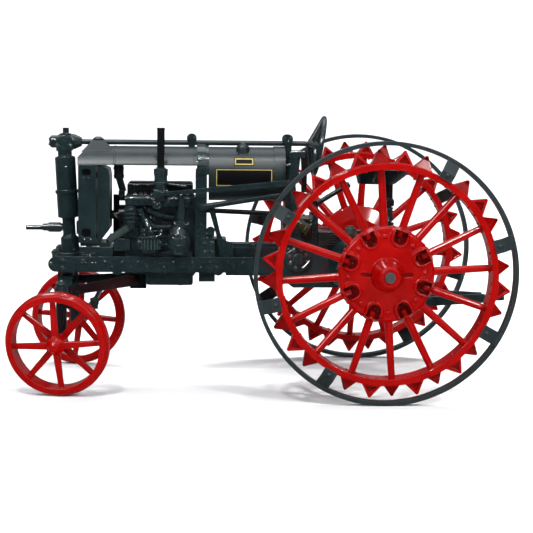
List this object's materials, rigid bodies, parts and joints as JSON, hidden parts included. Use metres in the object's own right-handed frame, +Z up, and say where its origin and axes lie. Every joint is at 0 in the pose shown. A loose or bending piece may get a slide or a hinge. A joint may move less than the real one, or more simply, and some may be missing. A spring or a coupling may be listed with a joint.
{
  "type": "die-cast model of a vintage tractor on steel wheels",
  "caption": "Scale model of a 1930s row-crop tractor with lugged spoked steel rear wheels, road bands, wide front axle, open engine and round tank.",
  "frame": {"origin": "on the floor below the middle of the model's bounding box", "axes": "+X the way the tractor drives, +Y its left side, +Z up"},
  "size_m": [0.1992, 0.139, 0.1075],
  "materials": {
    "body_green": "gloss enamel, very dark grey-green",
    "wheel_red": "gloss enamel, bright red",
    "band_slate": "satin, dark slate",
    "axle_steel": "dull darkened steel",
    "trim_black": "satin black"
  },
  "bodies": {
    "chassis": {"air_cleaner": "body_green", "axle_housing_left": "body_green", "axle_housing_right": "body_green", "brake_rods": "body_green", "carburettor": "body_green", "clutch_housing": "body_green", "clutch_rod": "trim_black", "drawbar": "body_green", "engine_block": "body_green", "exhaust_pipe": "trim_black", "fan": "trim_black", "fan_shroud": "body_green", "filler_cap": "axle_steel", "front_axle": "body_green", "front_bolster": "body_green", "front_shaft_bracket": "body_green", "fuel_tank": "body_green", "gear_housing": "body_green", "gear_lever": "trim_black", "hand_crank": "body_green", "hood": "body_green", "intake_pipes": "body_green", "lever_quadrant": "trim_black", "manifold": "body_green", "oil_pan": "body_green", "radiator": "body_green", "radiator_cap": "body_green", "radiator_top_tank": "body_green", "radius_rods": "trim_black", "rear_axle": "axle_steel", "rear_shaft_bracket": "body_green", "seat": "trim_black", "seat_bar": "body_green", "seat_spring": "body_green", "side_rail_left": "body_green", "side_rail_right": "body_green", "steering_gear_case": "body_green", "steering_pedestal": "body_green", "steering_shaft": "body_green", "tank_cap": "body_green", "tank_hoop": "body_green", "throttle_lever": "body_green", "throttle_rod": "body_green", "upper_hose": "trim_black", "valve_cover": "trim_black", "water_outlet": "body_green", "water_pump_and_pipe": "body_green"},
    "rear_wheel_left": {"rear_rim_left": "wheel_red", "rear_hub_left": "wheel_red", "road_band_left": "band_slate"},
    "rear_wheel_right": {"rear_rim_right": "wheel_red", "rear_hub_right": "wheel_red", "road_band_right": "band_slate"},
    "front_wheel_left": {"front_wheel_left": "wheel_red"},
    "front_wheel_right": {"front_wheel_right": "wheel_red"},
    "knuckle_left": {"knuckle_left": "body_green"},
    "knuckle_right": {"knuckle_right": "body_green"},
    "tie_rod": {"tie_rod": "body_green"},
    "steering_wheel": {"steering_wheel": "body_green"}
  },
  "joints": [
    {"name": "rear_wheel_left_spin", "type": "hinge", "parent": "chassis", "child": "rear_wheel_left", "pos_m": [-0.04422, 0.0561, 0.0495], "axis": [0, 1, 0], "continuous": true},
    {"name": "rear_wheel_right_spin", "type": "hinge", "parent": "chassis", "child": "rear_wheel_right", "pos_m": [-0.04422, -0.0561, 0.0495], "axis": [0, 1, 0], "continuous": true},
    {"name": "steer_left", "type": "hinge", "parent": "chassis", "child": "knuckle_left", "pos_m": [0.07838, 0.0335, 0.02028], "axis": [0, 0, 1], "range_deg": [-14, 34]},
    {"name": "steer_right", "type": "hinge", "parent": "chassis", "child": "knuckle_right", "pos_m": [0.07838, -0.0335, 0.02028], "axis": [0, 0, 1], "range_deg": [-14, 34]},
    {"name": "tie_rod_pivot", "type": "hinge", "parent": "knuckle_left", "child": "tie_rod", "pos_m": [0.06557, 0.03576, 0.0363], "axis": [0, 0, 1], "range_deg": [-34, 14]},
    {"name": "front_wheel_left_spin", "type": "hinge", "parent": "knuckle_left", "child": "front_wheel_left", "pos_m": [0.07944, 0.03951, 0.02028], "axis": [0.1724, 0.9775, -0.1219], "continuous": true},
    {"name": "front_wheel_right_spin", "type": "hinge", "parent": "knuckle_right", "child": "front_wheel_right", "pos_m": [0.07732, -0.03951, 0.02028], "axis": [0.1724, 0.9775, 0.1219], "continuous": true},
    {"name": "steering_wheel_turn", "type": "hinge", "parent": "chassis", "child": "steering_wheel", "pos_m": [-0.02273, -0.002, 0.09519], "axis": [0.9848, 0, 0.1736], "continuous": true}
  ],
  "couplings": [
    {"joint": "steer_right", "follows": "steer_left", "ratio": 1},
    {"joint": "tie_rod_pivot", "follows": "steer_left", "ratio": -1}
  ]
}
